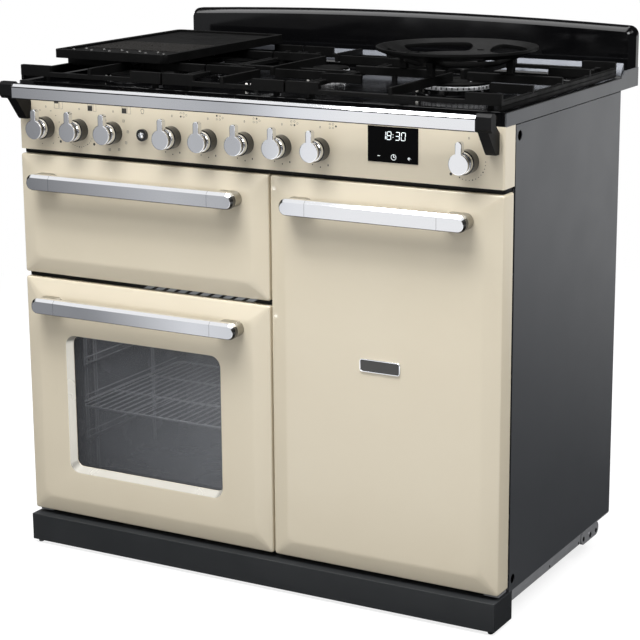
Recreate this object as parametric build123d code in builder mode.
from build123d import *
import os

# Range cooker, about one metre wide: three fronts, nine knobs and five gas burners.
# Millimetres, +Z up, the front faces -Y. The origin is on the floor at the middle of the whole box.

os.makedirs("parts", exist_ok=True)

# Overall sizes
width = 992.0
body_depth = 616.0  # from the face of the doors to the rear edge of the hob
rail_reach = 56.0  # from the face of the doors forward to the front of the handrail

# Heights, stacked up from the floor
plinth_lift = 6.5
plinth_height = 52.5
front_gap = 9.5  # dark gap between plinth, doors, grill front and control panel
lower_door_height = 465.0
grill_front_height = 227.0
panel_height = 103.5
trim_height = 22.0
hob_lip = 2.0
hob_step = 13.0  # rise of the ledge behind the burners
upstand_height = 77.0

# Fronts
side_inset = 0.5
left_front_width = 541.0
split_gap = 4.0
front_depth = 40.0
seal_gap = 3.5  # between the backs of the fronts and the carcass
skin = 1.5
rim_radius = 4.0
bevel = 32.0
field_proud = 8.0
field_radius = 18.0
liner_thick = 4.0

# Window in the lower left door
window_width = 332.0
window_height = 258.0
window_radius = 14.0
window_drop = 3.0  # the window sits this far below the middle of its door
reveal_slope = 10.0
reveal_wall = 3.0
glass_thick = 4.0
glass_lap = 8.0

# Handles
handle_left = 39.0  # from a front's left edge to its bar
handle_right = 49.5
handle_drop = 46.0
handle_tall = 30.0
handle_thick = 14.0
handle_reach = 43.0
handle_end = 53.0
handle_edge = 3.5
joint_gap = 0.3
post_in = 2.0  # outline of a post inside the outline of its end piece

# Door hinges
pivot_in = 11.0
pivot_back = 18.0
pin_radius = 4.0
pin_length = 14.0
boss_wall = 3.0
hinge_plate = 4.0
hinge_wide = 28.0
running_fit = 0.05

# Carcass
back_space = 89.0  # rear edge of the hob to the back of the carcass
sheet = 1.5
panel_side_inset = 1.0
oven_wall = 2.0
panel_hole_radius = 8.8
side_front_gap = 4.5  # groove between the fronts and the side panels
trim_gap = 2.0  # groove under the hob's side trims
panel_hole_in = 20.0
panel_hole_edge = 21.0

# Oven cavities
oven_back_space = 53.5  # back wall of the cavities to the back of the carcass
left_oven_side = 45.5  # edge of the door to the side wall of the cavity
right_oven_side = 43.0
oven_sill = 44.0  # door edge to the cavity floor
oven_head = 44.0  # door top edge to the cavity roof
grill_sill = 26.0
grill_head = 20.0
fan_cover_deep = 34.0
fan_cover_side = 40.0
fan_cover_end = 48.5
fan_radius = 72.0
fan_thick = 20.0
fan_shaft_radius = 6.0
fan_hub_radius = 14.0
fan_blades = 10
blade_thick = 2.0
blade_inner = 34.0
blade_margin = 2.0
cover_hole_radius = 8.0
cover_rings = ((20.0, 5), (45.0, 12))  # radius and number of holes

# Oven shelves and the ladders that carry them
wire = 5.0
ladder_levels = 4
ladder_rear_gap = 10.0
ladder_in = 26.0
shelf_play = 2.0
shelf_wires = 12
shelf_front_gap = 24.0
seat_gap = 0.3

# Gliding grill
runner_rear_gap = 30.0
runner_tall = 26.0
runner_wide = 10.0
runner_wall = 2.0
runner_gap = 0.6
runner_rise = 50.0
pan_tall = 38.0
pan_wall = 1.5
pan_rear_gap = 76.0
rack_wires = 9
element_radius = 4.0
element_rods = 6
element_drop = 14.0
element_bend = 0.45  # bend radius as a share of the rod pitch

# Control panel
panel_corner = 4.0
panel_wall = 2.0
control_rise = 43.5  # knob axes above the lower edge of the panel
knob_pitch = 76.0
oven_knob_in = 60.5  # first knob, from the left end of the panel
gas_knob_first = -155.0
right_knob_in = 65.5
light_shift = 2.0  # right of the middle between the knobs beside it
knob_radius = 18.8
knob_chamfer = 2.5
cap_radius = 18.0
tab_width = 11.5
tab_reach = 37.5
knob_reach = 39.0
ring_front = 29.0
tab_back = 26.5
knob_back = 10.0
cap_edge = 1.0
bezel_deep = 19.0
bezel_wall = 1.2
bezel_gap = 0.4
spindle_radius = 4.0
spindle_grip = 14.0
spindle_deep = 30.0
shaft_hole = 7.0
valve_size = 30.0
valve_deep = 38.0
gas_rail_radius = 8.0
gas_rail_deep = 30.0
button_radius = 6.0
button_reach = 9.0
button_skirt = 1.0
button_stem = 3.0
button_bezel_radius = 11.0
button_bezel_deep = 6.0
button_stem_deep = 16.0
display_in = 204.5  # middle of the display, from the right end of the panel
display_width = 95.0
display_height = 61.0
display_drop = 12.0
display_proud = 1.0
display_thick = 4.0

# Handrail
rail_tall = 25.0
rail_thick = 16.0
rail_rise = 0.0  # lower edge of the rail above the top of the control panel
rail_round = 6.0
rail_edge = 1.5
bracket_in = 28.0
bracket_arm = 19.0
bracket_over = 3.0
bracket_foot_top = 9.0
bracket_foot_bottom = 45.0
bracket_foot_reach = 17.0
bracket_chin = 6.0
bracket_brow = 5.0
bracket_heel = 4.0
bracket_neck = 10.0

# Hob
hob_front = 5.0
trim_thick = 2.5
tray_margin = 16.0
tray_sink = 10.0
tray_sheet = 2.0
ledge_deep = 71.0
step_run = 16.0
upstand_deep = 30.0
upstand_radius = 18.0
upstand_wall = 2.0
upstand_crown = 11.0  # rise of its top edge in the middle
upstand_bevel = 10.0  # sloped border, seen from the front
upstand_bevel_deep = 17.0

# Pan supports, griddle and wok ring
support_side = 6.0
support_splits = (-175.0, 80.0)
support_gap = 3.0
support_front = 0.0
support_rear_gap = 9.0
support_bar = 9.0
support_lift = 10.0  # underside of the frame above the lip of the hob
support_tall = 8.0
finger_top = 20.0  # top of the fingers above the underside of the frame
finger_wide = 7.0
finger_clear = 22.0
corner_block = 66.0
side_finger = 80.0
side_finger_pitch = 128.0
leg_size = 9.0
leg_in = 34.0
griddle_wide = 255.0
griddle_rear_gap = 56.0  # to the front of the upstand
griddle_thick = 16.0
griddle_rim = 12.0
griddle_sink = 4.0
griddle_foot = 3.0
griddle_in = 5.0
griddle_front = 97.0
wok_radius = 145.0
wok_throat = 78.0
wok_tall = 26.0
wok_wall = 5.0
wok_leg = 18.5
wok_leg_wide = 12.0
wok_leg_radius = 105.0
wok_slot_radius = 110.0
wok_slot_angle = 54.0
wok_slot_wide = 30.0

# Burners
front_row = 150.0  # behind the face of the doors
rear_row = 221.0  # in front of the rear edge
large_crown = 50.0
medium_crown = 37.0
small_crown = 28.0
wok_crown = 64.0
burner_flange = 4.0
burner_crown = 9.0
burner_cap = 4.0
cap_margin = 2.0
burner_stem = 22.0
burner_lap = 8.0
wok_inner_radius = 24.0
wok_rise = 6.0  # the wok burner stands higher than the others

# Base, plinth, feet and rear rollers
plinth_proud = 14.0
plinth_return = 75.0
base_plate = 2.0
base_rail = 17.0
base_rail_wide = 24.0
base_rail_rear = 147.0  # end of the side rails to the back of the carcass
adjuster_rear = 53.0
adjuster_long = 88.0
adjuster_tall = 26.0
adjuster_thick = 5.0
adjuster_lap = 1.0
foot_radius = 18.0
foot_thick = 8.0
stud_radius = 5.0
foot_in = 60.0
foot_back = 40.0
foot_boss_wall = 6.0
plinth_arm_in = 166.0
plinth_arm_wide = 30.0
roller_radius = 22.0
roller_wide = 20.0
roller_edge = 2.0
axle_radius = 5.0
roller_in = 60.0
roller_forward = 30.0
roller_side_gap = 0.5
cheek = 3.0

# Back
terminal_width = 120.0
terminal_height = 90.0
terminal_deep = 38.0
terminal_in = 116.0
terminal_z = 640.0
cable_entry_radius = 10.0
cable_entry_deep = 20.0
inlet_radius = 9.0
inlet_thread = 10.5
inlet_thread_long = 15.0
inlet_nut = 15.0
inlet_nut_long = 12.0
inlet_neck = 22.0
inlet_bend = 16.0
inlet_reach = 45.0
inlet_in = 96.0
inlet_drop = 40.0

# Cuts run this far past the face that they open
over = 1.0

# Places worked out from the sizes above
half = width / 2
y_face = rail_reach - (body_depth + rail_reach) / 2
y_rear = y_face + body_depth
carcass_setback = front_depth + seal_gap
y_carcass = y_face + carcass_setback
y_back = y_rear - back_space
oven_depth = y_back - y_carcass - oven_back_space
x_left = -half + side_inset
x_right = half - side_inset
x_left_end = x_left + left_front_width
x_right_start = x_left_end + split_gap
x_column = x_left_end + split_gap / 2
z_base = plinth_lift + plinth_height
z_door = z_base + front_gap
z_lower_top = z_door + lower_door_height
z_grill = z_lower_top + front_gap
z_fronts_top = z_grill + grill_front_height
z_panel = z_fronts_top + front_gap
z_hob = z_panel + panel_height
z_hob_top = z_hob + trim_height
z_lip = z_hob_top + hob_lip
z_ledge = z_hob_top + hob_step
z_tray = z_lip - tray_sink
z_controls = z_panel + control_rise
x_shell = half - panel_side_inset  # outer faces of the side panels
x_inside = x_shell - sheet
y_field = y_face - field_proud
y_panel_back = y_face + panel_wall
oven_knobs = [x_left + oven_knob_in + i * knob_pitch for i in range(3)] + [x_right - right_knob_in]
gas_knobs = [gas_knob_first + i * knob_pitch for i in range(5)]
light_x = (oven_knobs[2] + gas_knobs[0]) / 2 + light_shift
left_middle = (x_left + x_left_end) / 2
right_middle = (x_right_start + x_right) / 2
left_oven_width = left_front_width - 2 * left_oven_side
right_oven_width = x_right - x_right_start - 2 * right_oven_side
boss_radius = pin_radius + boss_wall
z_support = z_lip + support_lift
z_finger = z_support + finger_top
y_top = y_rear - ledge_deep  # rear end of the slope behind the burners
y_step = y_top - step_run
y_support = (y_face + support_front, y_step - support_rear_gap)
support_edges = (-half + support_side, *support_splits, half - support_side)
sections = [
    (support_edges[i] + support_gap / 2, support_edges[i + 1] - support_gap / 2) for i in range(3)
]
section_middles = [(a + b) / 2 for a, b in sections]
y_front_row = y_face + front_row
y_rear_row = y_rear - rear_row
burners = [  # x, y, crown radius
    (section_middles[0], y_front_row, large_crown),
    (section_middles[0], y_rear_row, medium_crown),
    (section_middles[1], y_rear_row, medium_crown),
    (section_middles[1], y_front_row, small_crown),
    (section_middles[2], sum(y_support) / 2, wok_crown),
]


def front_plane(y):
    """Sketch plane facing the cook at depth y: its x is X, its y is Z and its normal is -Y."""
    return Plane.XZ.offset(-y)


def slab(x_range, y_range, z_range, mode=Mode.ADD):
    """Box between two limits on each axis, in the part that is being built."""
    (x0, x1), (y0, y1), (z0, z1) = x_range, y_range, z_range
    with Locations(((x0 + x1) / 2, (y0 + y1) / 2, (z0 + z1) / 2)):
        Box(x1 - x0, y1 - y0, z1 - z0, mode=mode)


def rod(start, end, radius, mode=Mode.ADD):
    """Round bar from one point to another, in the part that is being built."""
    run = Vector(end) - Vector(start)
    middle = Vector(start) + run / 2
    with Locations(Plane(origin=middle, z_dir=run)):
        Cylinder(radius, run.length, mode=mode)


def keep(piece, name):
    """Label a finished piece and write its file."""
    piece.part.label = name
    export_step(piece.part, f"parts/{name}.step")


# Fronts: pressed steel shells with a raised field


def pressed_front(x_range, z_range):
    """Shell with a rim, sloping bevels and a raised field, open at the back."""
    x_mid = sum(x_range) / 2
    z_mid = sum(z_range) / 2
    wide = x_range[1] - x_range[0]
    tall = z_range[1] - z_range[0]
    with BuildPart() as front:
        for inset, mode in ((0, Mode.ADD), (skin, Mode.SUBTRACT)):
            for y, margin, radius in (
                (y_face + inset, inset, rim_radius - inset),
                (y_field + inset, bevel + inset, field_radius - inset),
            ):
                with BuildSketch(front_plane(y)):
                    with Locations((x_mid, z_mid)):
                        RectangleRounded(wide - 2 * margin, tall - 2 * margin, radius)
            loft(ruled=True, mode=mode)
            with BuildSketch(front_plane(y_face + inset)):
                with Locations((x_mid, z_mid)):
                    RectangleRounded(wide - 2 * inset, tall - 2 * inset, rim_radius - inset)
            extrude(amount=inset - front_depth, mode=mode)
    return front.part


def hinge_blocks(x, z_range):
    """Bored blocks for the hinge pins, at the top and the bottom of a door shell."""
    y = y_face + pivot_back
    for z, inward in ((z_range[0], 1), (z_range[1], -1)):
        block_z = sorted((z + inward * skin / 2, z + inward * (pin_length + 2 * skin)))
        slab((x - boss_radius, x + boss_radius), (y - boss_radius, y + boss_radius), block_z)
        bore = pin_radius + running_fit
        rod((x, y, z - inward * over), (x, y, z + inward * (pin_length + over)), bore, Mode.SUBTRACT)


def door_liner(x_range, z_range):
    """Flat inner plate that closes the back of a door shell."""
    with BuildPart() as liner:
        with BuildSketch(front_plane(y_face + front_depth)):
            with Locations((sum(x_range) / 2, sum(z_range) / 2)):
                RectangleRounded(
                    x_range[1] - x_range[0] - 2 * skin,
                    z_range[1] - z_range[0] - 2 * skin,
                    rim_radius - skin,
                )
        extrude(amount=liner_thick)
    return liner.part


def door_handle(x_range, z_top):
    """Bar with rounded ends on two posts, in three pieces with a fine joint between them."""
    x0 = x_range[0] + handle_left
    x1 = x_range[1] - handle_right
    z = z_top - handle_drop
    y_front = y_face - handle_reach
    y_bar = y_front + handle_thick
    with BuildPart() as handle:
        with BuildSketch(front_plane(y_bar)):
            with Locations(((x0 + x1) / 2, z)):
                SlotOverall(x1 - x0, handle_tall)
        extrude(amount=handle_thick)
        fillet(handle.faces().sort_by(Axis.Y)[0].edges(), handle_edge)
        for x in (x0 + handle_end / 2, x1 - handle_end / 2):
            with BuildSketch(front_plane(y_bar)):
                with Locations((x, z)):
                    SlotOverall(handle_end - 2 * post_in, handle_tall - 2 * post_in)
            extrude(amount=y_bar - y_field)
        for x in (x0 + handle_end, x1 - handle_end):
            slab((x - joint_gap / 2, x + joint_gap / 2), (y_front - over, y_bar + over),
                 (z - handle_tall, z + handle_tall), Mode.SUBTRACT)
    return handle


left_span = (x_left, x_left_end)
right_span = (x_right_start, x_right)
lower_span = (z_door, z_lower_top)
grill_span = (z_grill, z_fronts_top)
tall_span = (z_door, z_fronts_top)
window_at = (left_middle, sum(lower_span) / 2 - window_drop)
window_sizes = (  # depth and growth of the opening, from the field to the glass
    (y_field, reveal_slope),
    (y_field + reveal_slope, 0.0),
)
y_glass = y_field + reveal_slope

with BuildPart() as left_door:
    add(pressed_front(left_span, lower_span))
    hinge_blocks(x_left + pivot_in, lower_span)
    for lap, cut in ((reveal_wall, Mode.ADD), (0.0, Mode.SUBTRACT)):
        for y_ring, grow in window_sizes:
            with BuildSketch(front_plane(y_ring)):
                with Locations(window_at):
                    spread = 2 * (grow + lap)
                    RectangleRounded(
                        window_width + spread, window_height + spread, window_radius + grow + lap
                    )
        loft(ruled=True, mode=cut)
keep(left_door, "left_door")

pane_wide = window_width + 2 * glass_lap
pane_tall = window_height + 2 * glass_lap
with BuildPart() as left_door_liner:
    add(door_liner(left_span, lower_span))
    with BuildSketch(front_plane(y_face + front_depth)):
        with Locations(window_at):
            RectangleRounded(pane_wide, pane_tall, window_radius)
    extrude(amount=liner_thick, mode=Mode.SUBTRACT)
keep(left_door_liner, "left_door_liner")

with BuildPart() as left_door_glass:
    for y_pane in (y_glass + glass_thick, y_face + front_depth):
        with BuildSketch(front_plane(y_pane)):
            with Locations(window_at):
                RectangleRounded(pane_wide, pane_tall, window_radius)
        extrude(amount=glass_thick)
keep(left_door_glass, "left_door_glass")

with BuildPart() as right_door:
    add(pressed_front(right_span, tall_span))
    hinge_blocks(x_right - pivot_in, tall_span)
keep(right_door, "right_door")

with BuildPart() as right_door_liner:
    add(door_liner(right_span, tall_span))
keep(right_door_liner, "right_door_liner")

with BuildPart() as grill_front:
    add(pressed_front(left_span, grill_span))
keep(grill_front, "grill_front")

for handle_name, handle_span, handle_top in (
    ("left_door_handle", left_span, z_lower_top),
    ("right_door_handle", right_span, z_fronts_top),
    ("grill_handle", left_span, z_fronts_top),
):
    keep(door_handle(handle_span, handle_top), handle_name)

# Hinge brackets: a plate from the carcass and a pin into the door, at four places
with BuildPart() as hinge_brackets:
    for x_pin, z_edge, inward in (
        (x_left + pivot_in, z_door, 1),
        (x_left + pivot_in, z_lower_top, -1),
        (x_right - pivot_in, z_door, 1),
        (x_right - pivot_in, z_fronts_top, -1),
    ):
        y_pin = y_face + pivot_back
        z_plate = z_edge - inward * front_gap / 2
        x_plate = x_pin - (1 if x_pin > 0 else -1) * (hinge_wide / 2 - boss_radius)
        slab(
            (x_plate - hinge_wide / 2, x_plate + hinge_wide / 2),
            (y_pin - boss_radius, y_carcass),
            (z_plate - hinge_plate / 2, z_plate + hinge_plate / 2),
        )
        rod((x_pin, y_pin, z_plate), (x_pin, y_pin, z_edge + inward * pin_length), pin_radius)
keep(hinge_brackets, "hinge_brackets")

# Carcass sheets
with BuildPart() as side_panels:
    for side in (-1, 1):
        slab(sorted((side * x_inside, side * x_shell)), (y_carcass + side_front_gap, y_back), (z_base, z_hob - trim_gap))
        for z_hole in (z_base + panel_hole_edge, z_hob - panel_hole_edge):
            y_hole = y_carcass + panel_hole_in
            rod((side * (x_shell + over), y_hole, z_hole), (side * (x_inside - over), y_hole, z_hole),
                panel_hole_radius, Mode.SUBTRACT)
keep(side_panels, "side_panels")

with BuildPart() as back_panel:
    slab((-x_shell, x_shell), (y_back, y_back + sheet), (z_base, z_hob))
    y_skin = y_back + sheet + seat_gap
    terminal_x = -half + terminal_in
    inlet_x = half - inlet_in
    slab(
        (terminal_x - terminal_width / 2, terminal_x + terminal_width / 2),
        (y_skin, y_skin + terminal_deep),
        (terminal_z - terminal_height / 2, terminal_z + terminal_height / 2),
    )
    y_entry = y_skin + terminal_deep / 2
    z_entry = terminal_z - terminal_height / 2
    rod((terminal_x, y_entry, z_entry - over), (terminal_x, y_entry, z_entry + cable_entry_deep),
        cable_entry_radius, Mode.SUBTRACT)
    y_inlet = y_skin + inlet_reach
    z_inlet = z_hob - inlet_drop
    z_nut = z_inlet - inlet_neck
    with BuildLine() as inlet_path:
        FilletPolyline(
            (inlet_x, y_skin, z_inlet), (inlet_x, y_inlet, z_inlet), (inlet_x, y_inlet, z_nut), radius=inlet_bend
        )
    with BuildSketch(front_plane(y_skin)):
        with Locations((inlet_x, z_inlet)):
            Circle(inlet_radius)
    sweep()
    with BuildSketch(Plane.XY.offset(z_nut)):
        with Locations((inlet_x, y_inlet)):
            RegularPolygon(inlet_nut, 6)
    extrude(amount=-inlet_nut_long)
    z_thread = z_nut - inlet_nut_long
    rod((inlet_x, y_inlet, z_thread), (inlet_x, y_inlet, z_thread - inlet_thread_long), inlet_thread)
keep(back_panel, "back_panel")

# Oven cavities: a box with a front mask that reaches to its neighbours


def cavity(x_mid, inner_width, z_range, mask_x, mask_z):
    """Enamelled box, open at the front, with the flat mask round its mouth."""
    x0 = x_mid - inner_width / 2
    x1 = x_mid + inner_width / 2
    z0, z1 = z_range
    y1 = y_carcass + oven_depth
    with BuildPart() as box:
        slab(mask_x, (y_carcass, y_carcass + oven_wall), mask_z)
        slab((x0 - oven_wall, x1 + oven_wall), (y_carcass, y1 + oven_wall), (z0 - oven_wall, z1 + oven_wall))
        slab((x0, x1), (y_carcass - over, y1), (z0, z1), Mode.SUBTRACT)
    return box.part


def fan_shaft(x, z):
    """Stub shaft for a fan, on the back wall of a cavity."""
    y1 = y_carcass + oven_depth
    rod((x, y1 + oven_wall, z), (x, y1 - fan_cover_deep + 2 * oven_wall, z), fan_shaft_radius)


z_lower_split = z_lower_top + front_gap / 2
z_mask_top = z_fronts_top + front_gap / 2
left_oven_z = (z_door + oven_sill, z_lower_top - oven_head)
right_oven_z = (z_door + oven_sill, z_fronts_top - oven_head)
grill_z = (z_grill + grill_sill, z_fronts_top - grill_head)
left_fan_at = (left_middle, sum(left_oven_z) / 2)
right_fan_at = (right_middle, sum(right_oven_z) / 2)

with BuildPart() as left_oven:
    add(cavity(left_middle, left_oven_width, left_oven_z, (-x_inside, x_column), (z_base, z_lower_split)))
    fan_shaft(*left_fan_at)
keep(left_oven, "left_oven")

with BuildPart() as right_oven:
    add(cavity(right_middle, right_oven_width, right_oven_z, (x_column, x_inside), (z_base, z_mask_top)))
    fan_shaft(*right_fan_at)
keep(right_oven, "right_oven")

# Grill chamber with its fixed runners, and the carriage that glides in them
x_grill = (left_middle - left_oven_width / 2, left_middle + left_oven_width / 2)
z_runner = grill_z[0] + runner_rise
y_runner = y_carcass + oven_depth - runner_rear_gap
runner_places = (
    (x_grill[0], x_grill[0] + runner_wide),
    (x_grill[1] - runner_wide, x_grill[1]),
)
with BuildPart() as grill_cavity:
    add(cavity(left_middle, left_oven_width, grill_z, (-x_inside, x_column), (z_lower_split, z_mask_top)))
    for x_range in runner_places:
        slab(x_range, (y_carcass, y_runner), (z_runner, z_runner + runner_tall))
    groove_x = (x_grill[0] + runner_wall, x_grill[1] - runner_wall)
    groove_z = (z_runner + runner_wall, z_runner + runner_tall - runner_wall)
    for x_range in ((groove_x[0], x_grill[0] + runner_wide), (x_grill[1] - runner_wide, groove_x[1])):
        slab(x_range, (y_carcass - over, y_runner), groove_z, Mode.SUBTRACT)
keep(grill_cavity, "grill_cavity")

arm_z = (groove_z[0] + runner_gap, groove_z[1] - runner_gap)
arm_wide = runner_wide + runner_wall
arm_places = (
    (groove_x[0] + runner_gap, groove_x[0] + runner_gap + arm_wide),
    (groove_x[1] - runner_gap - arm_wide, groove_x[1] - runner_gap),
)
y_arm_end = y_runner - runner_gap
y_pan = (y_carcass + shelf_front_gap, y_carcass + oven_depth - pan_rear_gap)
with BuildPart() as grill_carriage:
    add(door_liner(left_span, grill_span))
    for x_range in arm_places:
        slab(x_range, (y_face + front_depth, y_arm_end), arm_z)
    for y_bar in (y_pan[0], y_pan[1] - wire):
        slab((arm_places[0][0], arm_places[1][1]), (y_bar, y_bar + wire), (arm_z[0], arm_z[0] + wire))
keep(grill_carriage, "grill_carriage")

x_pan = (arm_places[0][1], arm_places[1][0])
z_pan = arm_z[0] + wire
with BuildPart() as grill_pan:
    slab(x_pan, y_pan, (z_pan, z_pan + pan_tall))
    x_pan_in = (x_pan[0] + pan_wall, x_pan[1] - pan_wall)
    y_pan_in = (y_pan[0] + pan_wall, y_pan[1] - pan_wall)
    slab(x_pan_in, y_pan_in, (z_pan + pan_wall, z_pan + pan_tall + over), Mode.SUBTRACT)
    z_rack = z_pan + pan_tall / 2
    x_rack = (x_pan_in[0] + seat_gap, x_pan_in[1] - seat_gap)
    y_rack = (y_pan_in[0] + seat_gap, y_pan_in[1] - seat_gap)
    for y_bar in (y_rack[0], y_rack[1] - wire):
        slab(x_rack, (y_bar, y_bar + wire), (z_pan + pan_wall + seat_gap, z_rack + wire))
    for i in range(rack_wires):
        x_wire = x_rack[0] + (i + 0.5) * (x_rack[1] - x_rack[0]) / rack_wires
        slab((x_wire - wire / 2, x_wire + wire / 2), y_rack, (z_rack, z_rack + wire))
keep(grill_pan, "grill_pan")

with BuildPart() as grill_element:
    y_element = (y_carcass + shelf_front_gap, y_carcass + oven_depth)
    z_element = grill_z[1] - element_drop
    pitch = left_oven_width / (element_rods + 1)
    bends = []
    for i in range(element_rods):
        x_rod = x_grill[0] + pitch * (i + 1)
        y_turn = y_element[1] if i in (0, element_rods - 1) else y_element[1] - pitch
        run = ((x_rod, y_turn, z_element), (x_rod, y_element[0], z_element))
        bends += run if i % 2 == 0 else run[::-1]
    with BuildLine() as element_path:
        FilletPolyline(*bends, radius=element_bend * pitch)
    with BuildSketch(front_plane(y_element[1])):
        with Locations((x_grill[0] + pitch, z_element)):
            Circle(element_radius)
    sweep()
keep(grill_element, "grill_element")

# Fans and their covers, on the back wall of each oven
y_oven_back = y_carcass + oven_depth
y_cover = y_oven_back - fan_cover_deep
with BuildPart() as fan_covers:
    for x, z, wide, tall in (
        (*left_fan_at, left_oven_width, left_oven_z[1] - left_oven_z[0]),
        (*right_fan_at, right_oven_width, right_oven_z[1] - right_oven_z[0]),
    ):
        for inset, mode in ((0, Mode.ADD), (oven_wall, Mode.SUBTRACT)):
            dx = wide / 2 - fan_cover_side - inset
            dz = tall / 2 - fan_cover_end - inset
            slab((x - dx, x + dx), (y_cover + inset, y_oven_back), (z - dz, z + dz), mode)
        with BuildSketch(front_plane(y_cover)):
            with Locations((x, z)):
                for ring_radius, holes in cover_rings:
                    with PolarLocations(ring_radius, holes):
                        Circle(cover_hole_radius)
        extrude(amount=-oven_wall, mode=Mode.SUBTRACT)
keep(fan_covers, "fan_covers")


def fan(x, z):
    """Disc with straight blades round it and a bored hub."""
    y0 = y_cover + oven_wall + (fan_cover_deep - oven_wall - fan_thick) / 2
    y1 = y0 + fan_thick
    with BuildPart() as wheel:
        with BuildSketch(front_plane(y1)):
            with Locations((x, z)):
                Circle(fan_radius)
        extrude(amount=blade_thick)
        with BuildSketch(front_plane(y1)):
            with Locations((x, z)):
                blade_outer = fan_radius - blade_margin
                with PolarLocations((blade_inner + blade_outer) / 2, fan_blades):
                    Rectangle(blade_outer - blade_inner, blade_thick)
                Circle(fan_hub_radius)
        extrude(amount=fan_thick)
        rod((x, y0 - over, z), (x, y1 + over, z), fan_shaft_radius + running_fit, Mode.SUBTRACT)
    return wheel


keep(fan(*left_fan_at), "left_fan")
keep(fan(*right_fan_at), "right_fan")

# Side ladders and wire shelves
y_ladder = (y_carcass + ladder_in, y_cover - ladder_rear_gap)
left_oven_x = x_grill
right_oven_x = (right_middle - right_oven_width / 2, right_middle + right_oven_width / 2)


def ladder_step(z_range):
    """Distance between two ladder rails in one oven."""
    return (z_range[1] - z_range[0]) / (ladder_levels + 1)


with BuildPart() as oven_ladders:
    for oven_x, oven_z in ((left_oven_x, left_oven_z), (right_oven_x, right_oven_z)):
        for x0 in (oven_x[0], oven_x[1] - wire):
            ladder_x = (x0, x0 + wire)
            for y_post in (y_ladder[0], y_ladder[1] - wire):
                slab(ladder_x, (y_post, y_post + wire), (oven_z[0], oven_z[1]))
            reach_x = (x0, x0 + 2 * wire) if x0 == oven_x[0] else (x0 - wire, x0 + wire)
            for i in range(ladder_levels):
                z_rail = oven_z[0] + (i + 1) * ladder_step(oven_z)
                slab(reach_x, y_ladder, (z_rail - wire, z_rail))
keep(oven_ladders, "oven_ladders")


def shelf(oven_x, z_rail):
    """Wire shelf: a frame and its cross wires, lying on a pair of ladder rails."""
    x0 = oven_x[0] + wire + shelf_play
    x1 = oven_x[1] - wire - shelf_play
    y0 = y_carcass + shelf_front_gap
    y1 = y_cover - shelf_play
    z = (z_rail + seat_gap, z_rail + seat_gap + wire)
    with BuildPart() as grid:
        slab((x0, x1), (y0, y1), z)
        slab((x0 + wire, x1 - wire), (y0 + wire, y1 - wire), z, Mode.SUBTRACT)
        for i in range(shelf_wires):
            x = x0 + (i + 1) * (x1 - x0) / (shelf_wires + 1)
            slab((x - wire / 4, x + wire / 4), (y0, y1), (z[0] + wire / 4, z[1]))
    return grid


left_rail = left_oven_z[0] + 2 * ladder_step(left_oven_z)
right_rail = right_oven_z[0] + 3 * ladder_step(right_oven_z)
keep(shelf(left_oven_x, left_rail), "left_shelf")
keep(shelf(right_oven_x, right_rail), "right_shelf")

# Control panel: a shell that wraps round both ends
with BuildPart() as control_panel:
    for inset, mode in ((0, Mode.ADD), (panel_wall, Mode.SUBTRACT)):
        with BuildSketch(Plane.XY.offset(z_panel + inset)) as plan:
            with Locations((0, (y_face + y_carcass) / 2 + inset)):
                Rectangle(x_right - x_left - 2 * inset, carcass_setback)
            fillet(plan.vertices().group_by(Axis.Y)[0], panel_corner - inset)
        extrude(amount=panel_height - 2 * inset, mode=mode)
    for x in oven_knobs + gas_knobs + [light_x]:
        rod((x, y_face - over, z_controls), (x, y_panel_back + over, z_controls), shaft_hole, Mode.SUBTRACT)
    display_x = x_right - display_in
    z_display = (z_hob - display_drop - display_height, z_hob - display_drop)
    x_display = (display_x - display_width / 2, display_x + display_width / 2)
    slab(x_display, (y_face - over, y_panel_back + over), z_display, Mode.SUBTRACT)
keep(control_panel, "control_panel")

with BuildPart() as display_glass:
    slab(x_display, (y_face - display_proud, y_face - display_proud + display_thick), z_display)
keep(display_glass, "display_glass")

with BuildPart() as control_bezels:
    bezel_inner = knob_radius + bezel_gap
    for x in oven_knobs + gas_knobs:
        with BuildSketch(front_plane(y_face)):
            with Locations((x, z_controls)):
                Circle(bezel_inner + bezel_wall)
                Circle(bezel_inner, mode=Mode.SUBTRACT)
        extrude(amount=bezel_deep)
    with BuildSketch(front_plane(y_face)):
        with Locations((light_x, z_controls)):
            Circle(button_bezel_radius)
            Circle(button_radius + bezel_gap, mode=Mode.SUBTRACT)
    extrude(amount=button_bezel_deep)
keep(control_bezels, "control_bezels")


def knob(x, own_shaft):
    """Round knob with a keyhole-shaped cap; the oven knobs carry their own shaft."""
    with BuildPart() as turned:
        with BuildSketch(front_plane(y_face - knob_back)):
            with Locations((x, z_controls)):
                Circle(knob_radius)
        extrude(amount=ring_front - knob_back)
        chamfer(turned.faces().sort_by(Axis.Y)[0].edges(), knob_chamfer)
        with BuildSketch(front_plane(y_face - tab_back)):
            with Locations((x, z_controls)):
                Circle(cap_radius)
            with Locations((x, z_controls + (tab_reach - tab_width / 2) / 2)):
                SlotCenterToCenter(tab_reach - tab_width / 2, tab_width, rotation=90)
        extrude(amount=knob_reach - tab_back)
        fillet(turned.faces().sort_by(Axis.Y)[0].edges(), cap_edge)
        if own_shaft:
            rod((x, y_face - knob_back, z_controls), (x, y_face + spindle_deep, z_controls), spindle_radius)
        else:
            bore = spindle_radius + running_fit
            y_bore = y_face - knob_back - spindle_grip
            rod((x, y_face, z_controls), (x, y_bore, z_controls), bore, Mode.SUBTRACT)
    return turned


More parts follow.
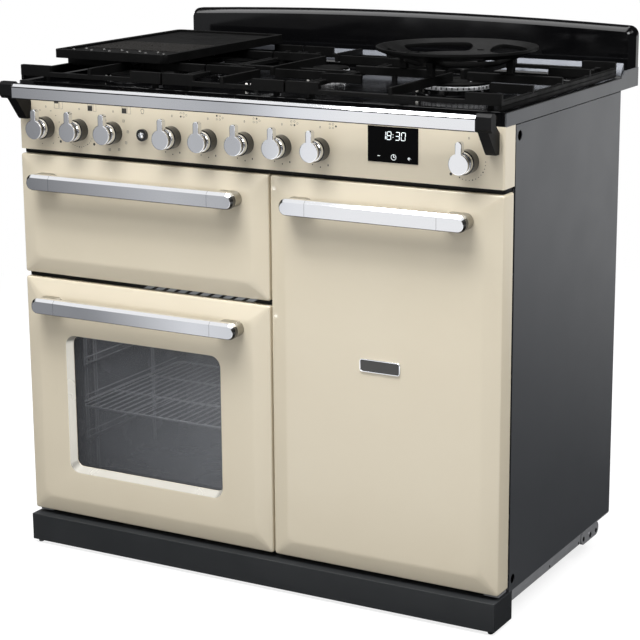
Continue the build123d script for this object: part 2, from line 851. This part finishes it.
for knob_name, knob_x in zip(
    ("knob_left_oven_mode", "knob_grill", "knob_left_oven", "knob_right_oven"), oven_knobs
):
    keep(knob(knob_x, True), knob_name)
for i, knob_x in enumerate(gas_knobs):
    keep(knob(knob_x, False), f"knob_gas_{i + 1}")
    with BuildPart() as spindle:
        y_tip = y_face - knob_back - spindle_grip + seat_gap
        rod((knob_x, y_tip, z_controls), (knob_x, y_face + spindle_deep, z_controls), spindle_radius)
    keep(spindle, f"gas_spindle_{i + 1}")

with BuildPart() as light_button:
    y_button = y_face - button_reach
    rod((light_x, y_button, z_controls), (light_x, y_face - button_skirt, z_controls), button_radius)
    fillet(light_button.faces().sort_by(Axis.Y)[0].edges(), button_radius / 2)
    rod((light_x, y_face - button_skirt, z_controls), (light_x, y_face + button_stem_deep, z_controls), button_stem)
keep(light_button, "light_button")

with BuildPart() as control_valves:
    for x in oven_knobs + gas_knobs + [light_x]:
        valve = (x - valve_size / 2, x + valve_size / 2)
        slab(valve, (y_panel_back, y_panel_back + valve_deep),
             (z_controls - valve_size / 2, z_controls + valve_size / 2))
    z_gas = z_controls - valve_size / 2
    y_gas = y_panel_back + gas_rail_deep
    rod((gas_knobs[0] - valve_size, y_gas, z_gas), (gas_knobs[-1] + valve_size, y_gas, z_gas), gas_rail_radius)
    for x in oven_knobs + gas_knobs:
        rod((x, y_face, z_controls), (x, y_panel_back + valve_deep + over, z_controls),
            spindle_radius + running_fit, Mode.SUBTRACT)
    rod((light_x, y_face, z_controls), (light_x, y_panel_back + valve_deep + over, z_controls),
        button_stem + running_fit, Mode.SUBTRACT)
keep(control_valves, "control_valves")

# Handrail on two brackets
z_rail_low = z_hob + rail_rise
y_rail = y_face - rail_reach
x_rail = x_right - bracket_in
with BuildPart() as handrail:
    with BuildSketch(Plane.YZ.offset(-x_rail)) as rail_section:
        with Locations((y_rail + rail_thick / 2, z_rail_low + rail_tall / 2)):
            Rectangle(rail_thick, rail_tall)
        fillet(rail_section.vertices().group_by(Axis.Y)[-1], rail_round)
        fillet(rail_section.vertices().group_by(Axis.X)[0], rail_edge)
    extrude(amount=2 * x_rail)
keep(handrail, "handrail")

with BuildPart() as rail_brackets:
    z_cap = (z_rail_low - bracket_over, z_rail_low + rail_tall + bracket_over)
    z_foot = (z_hob - bracket_foot_bottom, z_hob - bracket_foot_top)
    y_cap = y_rail + rail_thick + bracket_over
    for x_cap, x_arm in ((-half, -x_rail - bracket_arm), (x_rail, x_rail)):
        with BuildSketch(Plane.YZ.offset(x_cap)):
            with BuildLine():
                Polyline(
                    (y_rail, z_cap[0] + bracket_chin), (y_rail, z_cap[1] - bracket_brow),
                    (y_rail + bracket_brow, z_cap[1]), (y_cap - bracket_heel, z_cap[1]),
                    (y_cap, z_cap[1] - bracket_heel), (y_cap, z_cap[0]),
                    (y_rail + bracket_chin, z_cap[0]), (y_rail, z_cap[0] + bracket_chin),
                )
            make_face()
        extrude(amount=half - x_rail)
        with BuildSketch(Plane.YZ.offset(x_arm)):
            with BuildLine():
                Polyline(
                    (y_rail + bracket_neck, z_cap[0]), (y_cap - bracket_heel, z_cap[1]),
                    (y_face, z_foot[1]), (y_face, z_foot[0]),
                    (y_face - bracket_foot_reach + bracket_heel, z_foot[0]),
                    (y_face - bracket_foot_reach, z_foot[0] + bracket_heel),
                    (y_rail + bracket_neck, z_cap[0]),
                )
            make_face()
        extrude(amount=bracket_arm)
keep(rail_brackets, "rail_brackets")

# Hob: enamelled tray between two side trims, with the upstand behind it
with BuildPart() as hob_tray:
    y_hob = y_face + hob_front
    slab((-half, half), (y_hob, y_step), (z_hob_top, z_lip))
    x_tray = half - tray_margin
    y_tray = (y_hob + tray_margin, y_step - tray_sheet)
    slab((-x_tray, x_tray), y_tray, (z_tray - tray_sheet, z_lip))
    slab(
        (-x_tray + tray_sheet, x_tray - tray_sheet),
        (y_tray[0] + tray_sheet, y_tray[1] - tray_sheet),
        (z_tray, z_lip + over),
        Mode.SUBTRACT,
    )
    x_between = half - trim_thick
    slab((-x_between, x_between), (y_hob, y_hob + tray_sheet), (z_hob, z_hob_top))
    with BuildSketch(Plane.YZ.offset(-x_between)):
        with BuildLine():
            Polyline(
                (y_step - 2 * tray_sheet, z_lip), (y_step, z_lip), (y_top, z_ledge), (y_rear, z_ledge),
                (y_rear, z_hob), (y_rear - tray_sheet, z_hob), (y_rear - tray_sheet, z_ledge - tray_sheet),
                (y_top + tray_sheet / 2, z_ledge - tray_sheet), (y_step + tray_sheet / 2, z_hob_top),
                (y_step - 2 * tray_sheet, z_hob_top), (y_step - 2 * tray_sheet, z_lip),
            )
        make_face()
    extrude(amount=2 * x_between)
    for x, y, radius in burners:
        rod((x, y, z_tray - 3 * tray_sheet), (x, y, z_tray + over), radius - burner_lap, Mode.SUBTRACT)
keep(hob_tray, "hob_tray")

with BuildPart() as hob_side_trims:
    for x in (-half, half - trim_thick):
        with BuildSketch(Plane.YZ.offset(x)):
            with BuildLine():
                Polyline(
                    (y_hob, z_hob), (y_hob, z_hob_top), (y_step, z_hob_top), (y_top, z_ledge),
                    (y_rear, z_ledge), (y_rear, z_hob), (y_hob, z_hob),
                )
            make_face()
        extrude(amount=trim_thick)
keep(hob_side_trims, "hob_side_trims")



def upstand_block(inset):
    """Crowned block behind the hob with a sloped border; inset makes it smaller, for the hollow inside."""
    x = half - panel_side_inset - inset
    z0 = z_ledge - inset
    z1 = z_ledge + upstand_height - inset
    with BuildPart() as block:
        with BuildSketch(front_plane(y_rear)) as outline:
            with BuildLine():
                Polyline((-x, z1), (-x, z0), (x, z0), (x, z1))
                ThreePointArc((x, z1), (0, z1 + upstand_crown), (-x, z1))
            make_face()
            fillet(outline.vertices().group_by(Axis.Y)[-1], upstand_radius - inset)
        extrude(amount=upstand_deep - inset)
        front = block.faces().sort_by(Axis.Y)[0]
        border = front.edges().sort_by(Axis.Z)[1:]
        chamfer(border, upstand_bevel, upstand_bevel_deep, reference=front)
    return block.part


with BuildPart() as upstand:
    add(upstand_block(0))
    add(upstand_block(upstand_wall), mode=Mode.SUBTRACT)
keep(upstand, "upstand")

# Burners: a crown with a stem through the tray, and a cap on top
z_crown = z_tray + burner_flange + burner_crown
with BuildPart() as burner_bases:
    for x, y, radius in burners:
        rod((x, y, z_tray - burner_stem), (x, y, z_tray), radius - burner_lap)
        rod((x, y, z_tray), (x, y, z_tray + burner_flange), radius + burner_lap)
        rod((x, y, z_tray + burner_flange), (x, y, z_crown), radius)
    x, y, radius = burners[-1]
    rod((x, y, z_crown), (x, y, z_crown + wok_rise), radius)
keep(burner_bases, "burner_bases")

with BuildPart() as burner_caps:
    for x, y, radius in burners[:-1]:
        rod((x, y, z_crown), (x, y, z_crown + burner_cap), radius - cap_margin)
    x, y, radius = burners[-1]
    wok_cap = (x, y, z_crown + wok_rise), (x, y, z_crown + wok_rise + burner_cap)
    rod(*wok_cap, radius - cap_margin)
    rod(*wok_cap, wok_inner_radius + burner_lap, Mode.SUBTRACT)
    rod(*wok_cap, wok_inner_radius)
keep(burner_caps, "burner_caps")

# Pan supports: a low frame on legs, with fingers that point at each burner
z_bar = (z_support, z_support + support_tall)
z_fingers = (z_support + support_tall / 2, z_finger)


def pan_support(x_range, targets):
    """Cast frame for one section of the hob; targets are the burners under it."""
    x0, x1 = x_range
    y0, y1 = y_support
    y_middle = (y0 + y1) / 2
    with BuildPart() as support:
        slab((x0, x1), (y0, y1), z_bar)
        slab((x0 + support_bar, x1 - support_bar), (y0 + support_bar, y1 - support_bar), z_bar, Mode.SUBTRACT)
        rows = sorted(y for x, y, radius in targets)
        stops = [y0] + [(a + b) / 2 for a, b in zip(rows, rows[1:])] + [y1]
        for y in stops[1:-1]:
            slab((x0, x1), (y - support_bar / 2, y + support_bar / 2), z_bar)
        for i, y in enumerate(rows):
            x = (x0 + x1) / 2
            for x_finger in ((x0, x - finger_clear), (x + finger_clear, x1)):
                slab(x_finger, (y - finger_wide / 2, y + finger_wide / 2), z_fingers)
            for y_finger in ((stops[i], y - finger_clear), (y + finger_clear, stops[i + 1])):
                slab((x - finger_wide / 2, x + finger_wide / 2), y_finger, z_fingers)
        for y in (y_middle - side_finger_pitch, y_middle + side_finger_pitch) if len(rows) == 1 else ():
            for x_finger in ((x0, x0 + side_finger), (x1 - side_finger, x1)):
                slab(x_finger, (y - finger_wide / 2, y + finger_wide / 2), z_fingers)
        for y in (y0, y1 - support_bar):
            for x_block in ((x0, x0 + corner_block), (x1 - corner_block, x1)):
                slab(x_block, (y, y + support_bar), z_fingers)
        for x in (x0 + leg_in, x1 - leg_in):
            for y in (y0 + leg_in, y1 - leg_in):
                slab((x - leg_size / 2, x + leg_size / 2), (y - leg_size / 2, y + leg_size / 2),
                     (z_tray + seat_gap, z_bar[1]))
                reach = (y0, y) if y < y_middle else (y, y1)
                slab((x - leg_size / 2, x + leg_size / 2), reach, z_bar)
    return support


for support_name, support_x, targets in (
    ("pan_support_left", sections[0], burners[0:2]),
    ("pan_support_centre", sections[1], burners[2:4]),
    ("pan_support_right", sections[2], burners[4:5]),
):
    keep(pan_support(support_x, targets), support_name)

# Griddle plate on the left pan support
z_griddle = z_finger + seat_gap + griddle_foot
griddle_x = (support_edges[0] + griddle_in, support_edges[0] + griddle_in + griddle_wide)
griddle_y = (y_face + griddle_front, y_rear - upstand_deep - griddle_rear_gap)
with BuildPart() as griddle:
    slab(griddle_x, griddle_y, (z_griddle, z_griddle + griddle_thick))
    fillet(griddle.edges().filter_by(Axis.Z), griddle_rim)
    slab(
        (griddle_x[0] + griddle_rim, griddle_x[1] - griddle_rim),
        (griddle_y[0] + griddle_rim, griddle_y[1] - griddle_rim),
        (z_griddle + griddle_thick - griddle_sink, z_griddle + griddle_thick + over),
        Mode.SUBTRACT,
    )
    for x, y, radius in burners[0:2]:
        slab((x - finger_wide / 2, x + finger_wide / 2), (y + finger_clear, y + radius),
             (z_griddle - griddle_foot, z_griddle))
        slab((x + finger_clear, x + radius), (y - finger_wide / 2, y + finger_wide / 2),
             (z_griddle - griddle_foot, z_griddle))
keep(griddle, "griddle")

# Wok ring: a pierced cone on four legs that stand on the fingers of the right pan support
wok_x, wok_y, wok_burner = burners[-1]
z_wok = z_finger + seat_gap + wok_leg
with BuildPart() as wok_ring:
    with BuildSketch(Plane(origin=(wok_x, wok_y, z_wok), x_dir=(1, 0, 0), z_dir=(0, -1, 0))):
        with BuildLine():
            Polyline(
                (wok_throat, 0), (wok_radius - wok_wall, wok_tall), (wok_radius, wok_tall),
                (wok_radius, wok_tall - wok_wall), (wok_throat + wok_wall, -wok_wall), (wok_throat, -wok_wall),
                (wok_throat, 0),
            )
        make_face()
    revolve(axis=Axis((wok_x, wok_y, z_wok), (0, 0, 1)))
    with BuildSketch(Plane.XY.offset(z_wok - wok_wall)):
        with Locations((wok_x, wok_y)):
            for turn in (45, 135, 225, 315):
                arc = CenterArc((0, 0), wok_slot_radius, turn - wok_slot_angle / 2, wok_slot_angle, mode=Mode.PRIVATE)
                SlotArc(arc, wok_slot_wide)
    extrude(amount=wok_tall + 2 * wok_wall, mode=Mode.SUBTRACT)
    for dx, dy in ((1, 0), (-1, 0), (0, 1), (0, -1)):
        x = wok_x + dx * wok_leg_radius
        y = wok_y + dy * wok_leg_radius
        slope = (wok_leg_radius - wok_throat) * wok_tall / (wok_radius - wok_throat)
        slab((x - wok_leg_wide / 2, x + wok_leg_wide / 2), (y - wok_leg_wide / 2, y + wok_leg_wide / 2),
             (z_finger + seat_gap, z_wok + slope))
keep(wok_ring, "wok_ring")

# Base frame, with the roller forks and the arms that hold the plinth
y_foot = y_carcass + foot_back
y_roller = y_back - roller_forward
x_feet = (-half + foot_in, half - foot_in)
x_rollers = (-half + roller_in, half - roller_in)
fork = roller_wide / 2 + roller_side_gap
z_rails = z_base - base_plate - base_rail
y_plinth = (y_face - plinth_proud, y_face - plinth_proud + plinth_return)
with BuildPart() as base_frame:
    slab((-x_shell, x_shell), (y_plinth[1], y_back), (z_base - base_plate, z_base))
    for x_range in ((-x_shell, -x_shell + base_rail_wide), (x_shell - base_rail_wide, x_shell)):
        slab(x_range, (y_plinth[1], y_back - base_rail_rear), (z_rails, z_base - base_plate))
    y_adjuster = y_back - adjuster_rear - adjuster_long / 2
    for x in (-x_shell, x_shell - adjuster_thick):
        with BuildSketch(Plane.YZ.offset(x)):
            with Locations((y_adjuster, z_base - base_plate - adjuster_tall / 2 + adjuster_lap)):
                SlotOverall(adjuster_long, adjuster_tall)
        extrude(amount=adjuster_thick)
    for x in (-half + plinth_arm_in, half - plinth_arm_in):
        slab((x - plinth_arm_wide / 2, x + plinth_arm_wide / 2), (y_plinth[0] + sheet, y_foot),
             (z_rails, z_base - base_plate))
    for x in x_feet:
        rod((x, y_foot, z_rails), (x, y_foot, z_base - base_plate), stud_radius + foot_boss_wall)
        rod((x, y_foot, z_rails - over), (x, y_foot, z_base - base_plate), stud_radius, Mode.SUBTRACT)
    for x in x_rollers:
        for x0 in (x - fork - cheek, x + fork):
            slab((x0, x0 + cheek), (y_roller - roller_radius, y_roller + roller_radius),
                 (roller_radius - 2 * axle_radius, z_base - base_plate))
        rod((x - fork - cheek, y_roller, roller_radius), (x + fork + cheek, y_roller, roller_radius), axle_radius)
keep(base_frame, "base_frame")

for roller_name, x in zip(("roller_left", "roller_right"), x_rollers):
    with BuildPart() as roller:
        rod((x - roller_wide / 2, y_roller, roller_radius), (x + roller_wide / 2, y_roller, roller_radius),
            roller_radius)
        fillet(roller.edges().filter_by(GeomType.CIRCLE), roller_edge)
        rod((x - roller_wide, y_roller, roller_radius), (x + roller_wide, y_roller, roller_radius),
            axle_radius + running_fit, Mode.SUBTRACT)
    keep(roller, roller_name)

with BuildPart() as feet:
    for x in x_feet:
        rod((x, y_foot, 0), (x, y_foot, foot_thick), foot_radius)
        rod((x, y_foot, foot_thick), (x, y_foot, z_base - base_plate), stud_radius)
keep(feet, "feet")

with BuildPart() as plinth:
    slab((x_left, x_right), y_plinth, (plinth_lift, z_base))
    slab((x_left + sheet, x_right - sheet), (y_plinth[0] + sheet, y_plinth[1] + over),
         (plinth_lift - over, z_base - sheet), Mode.SUBTRACT)
keep(plinth, "plinth")
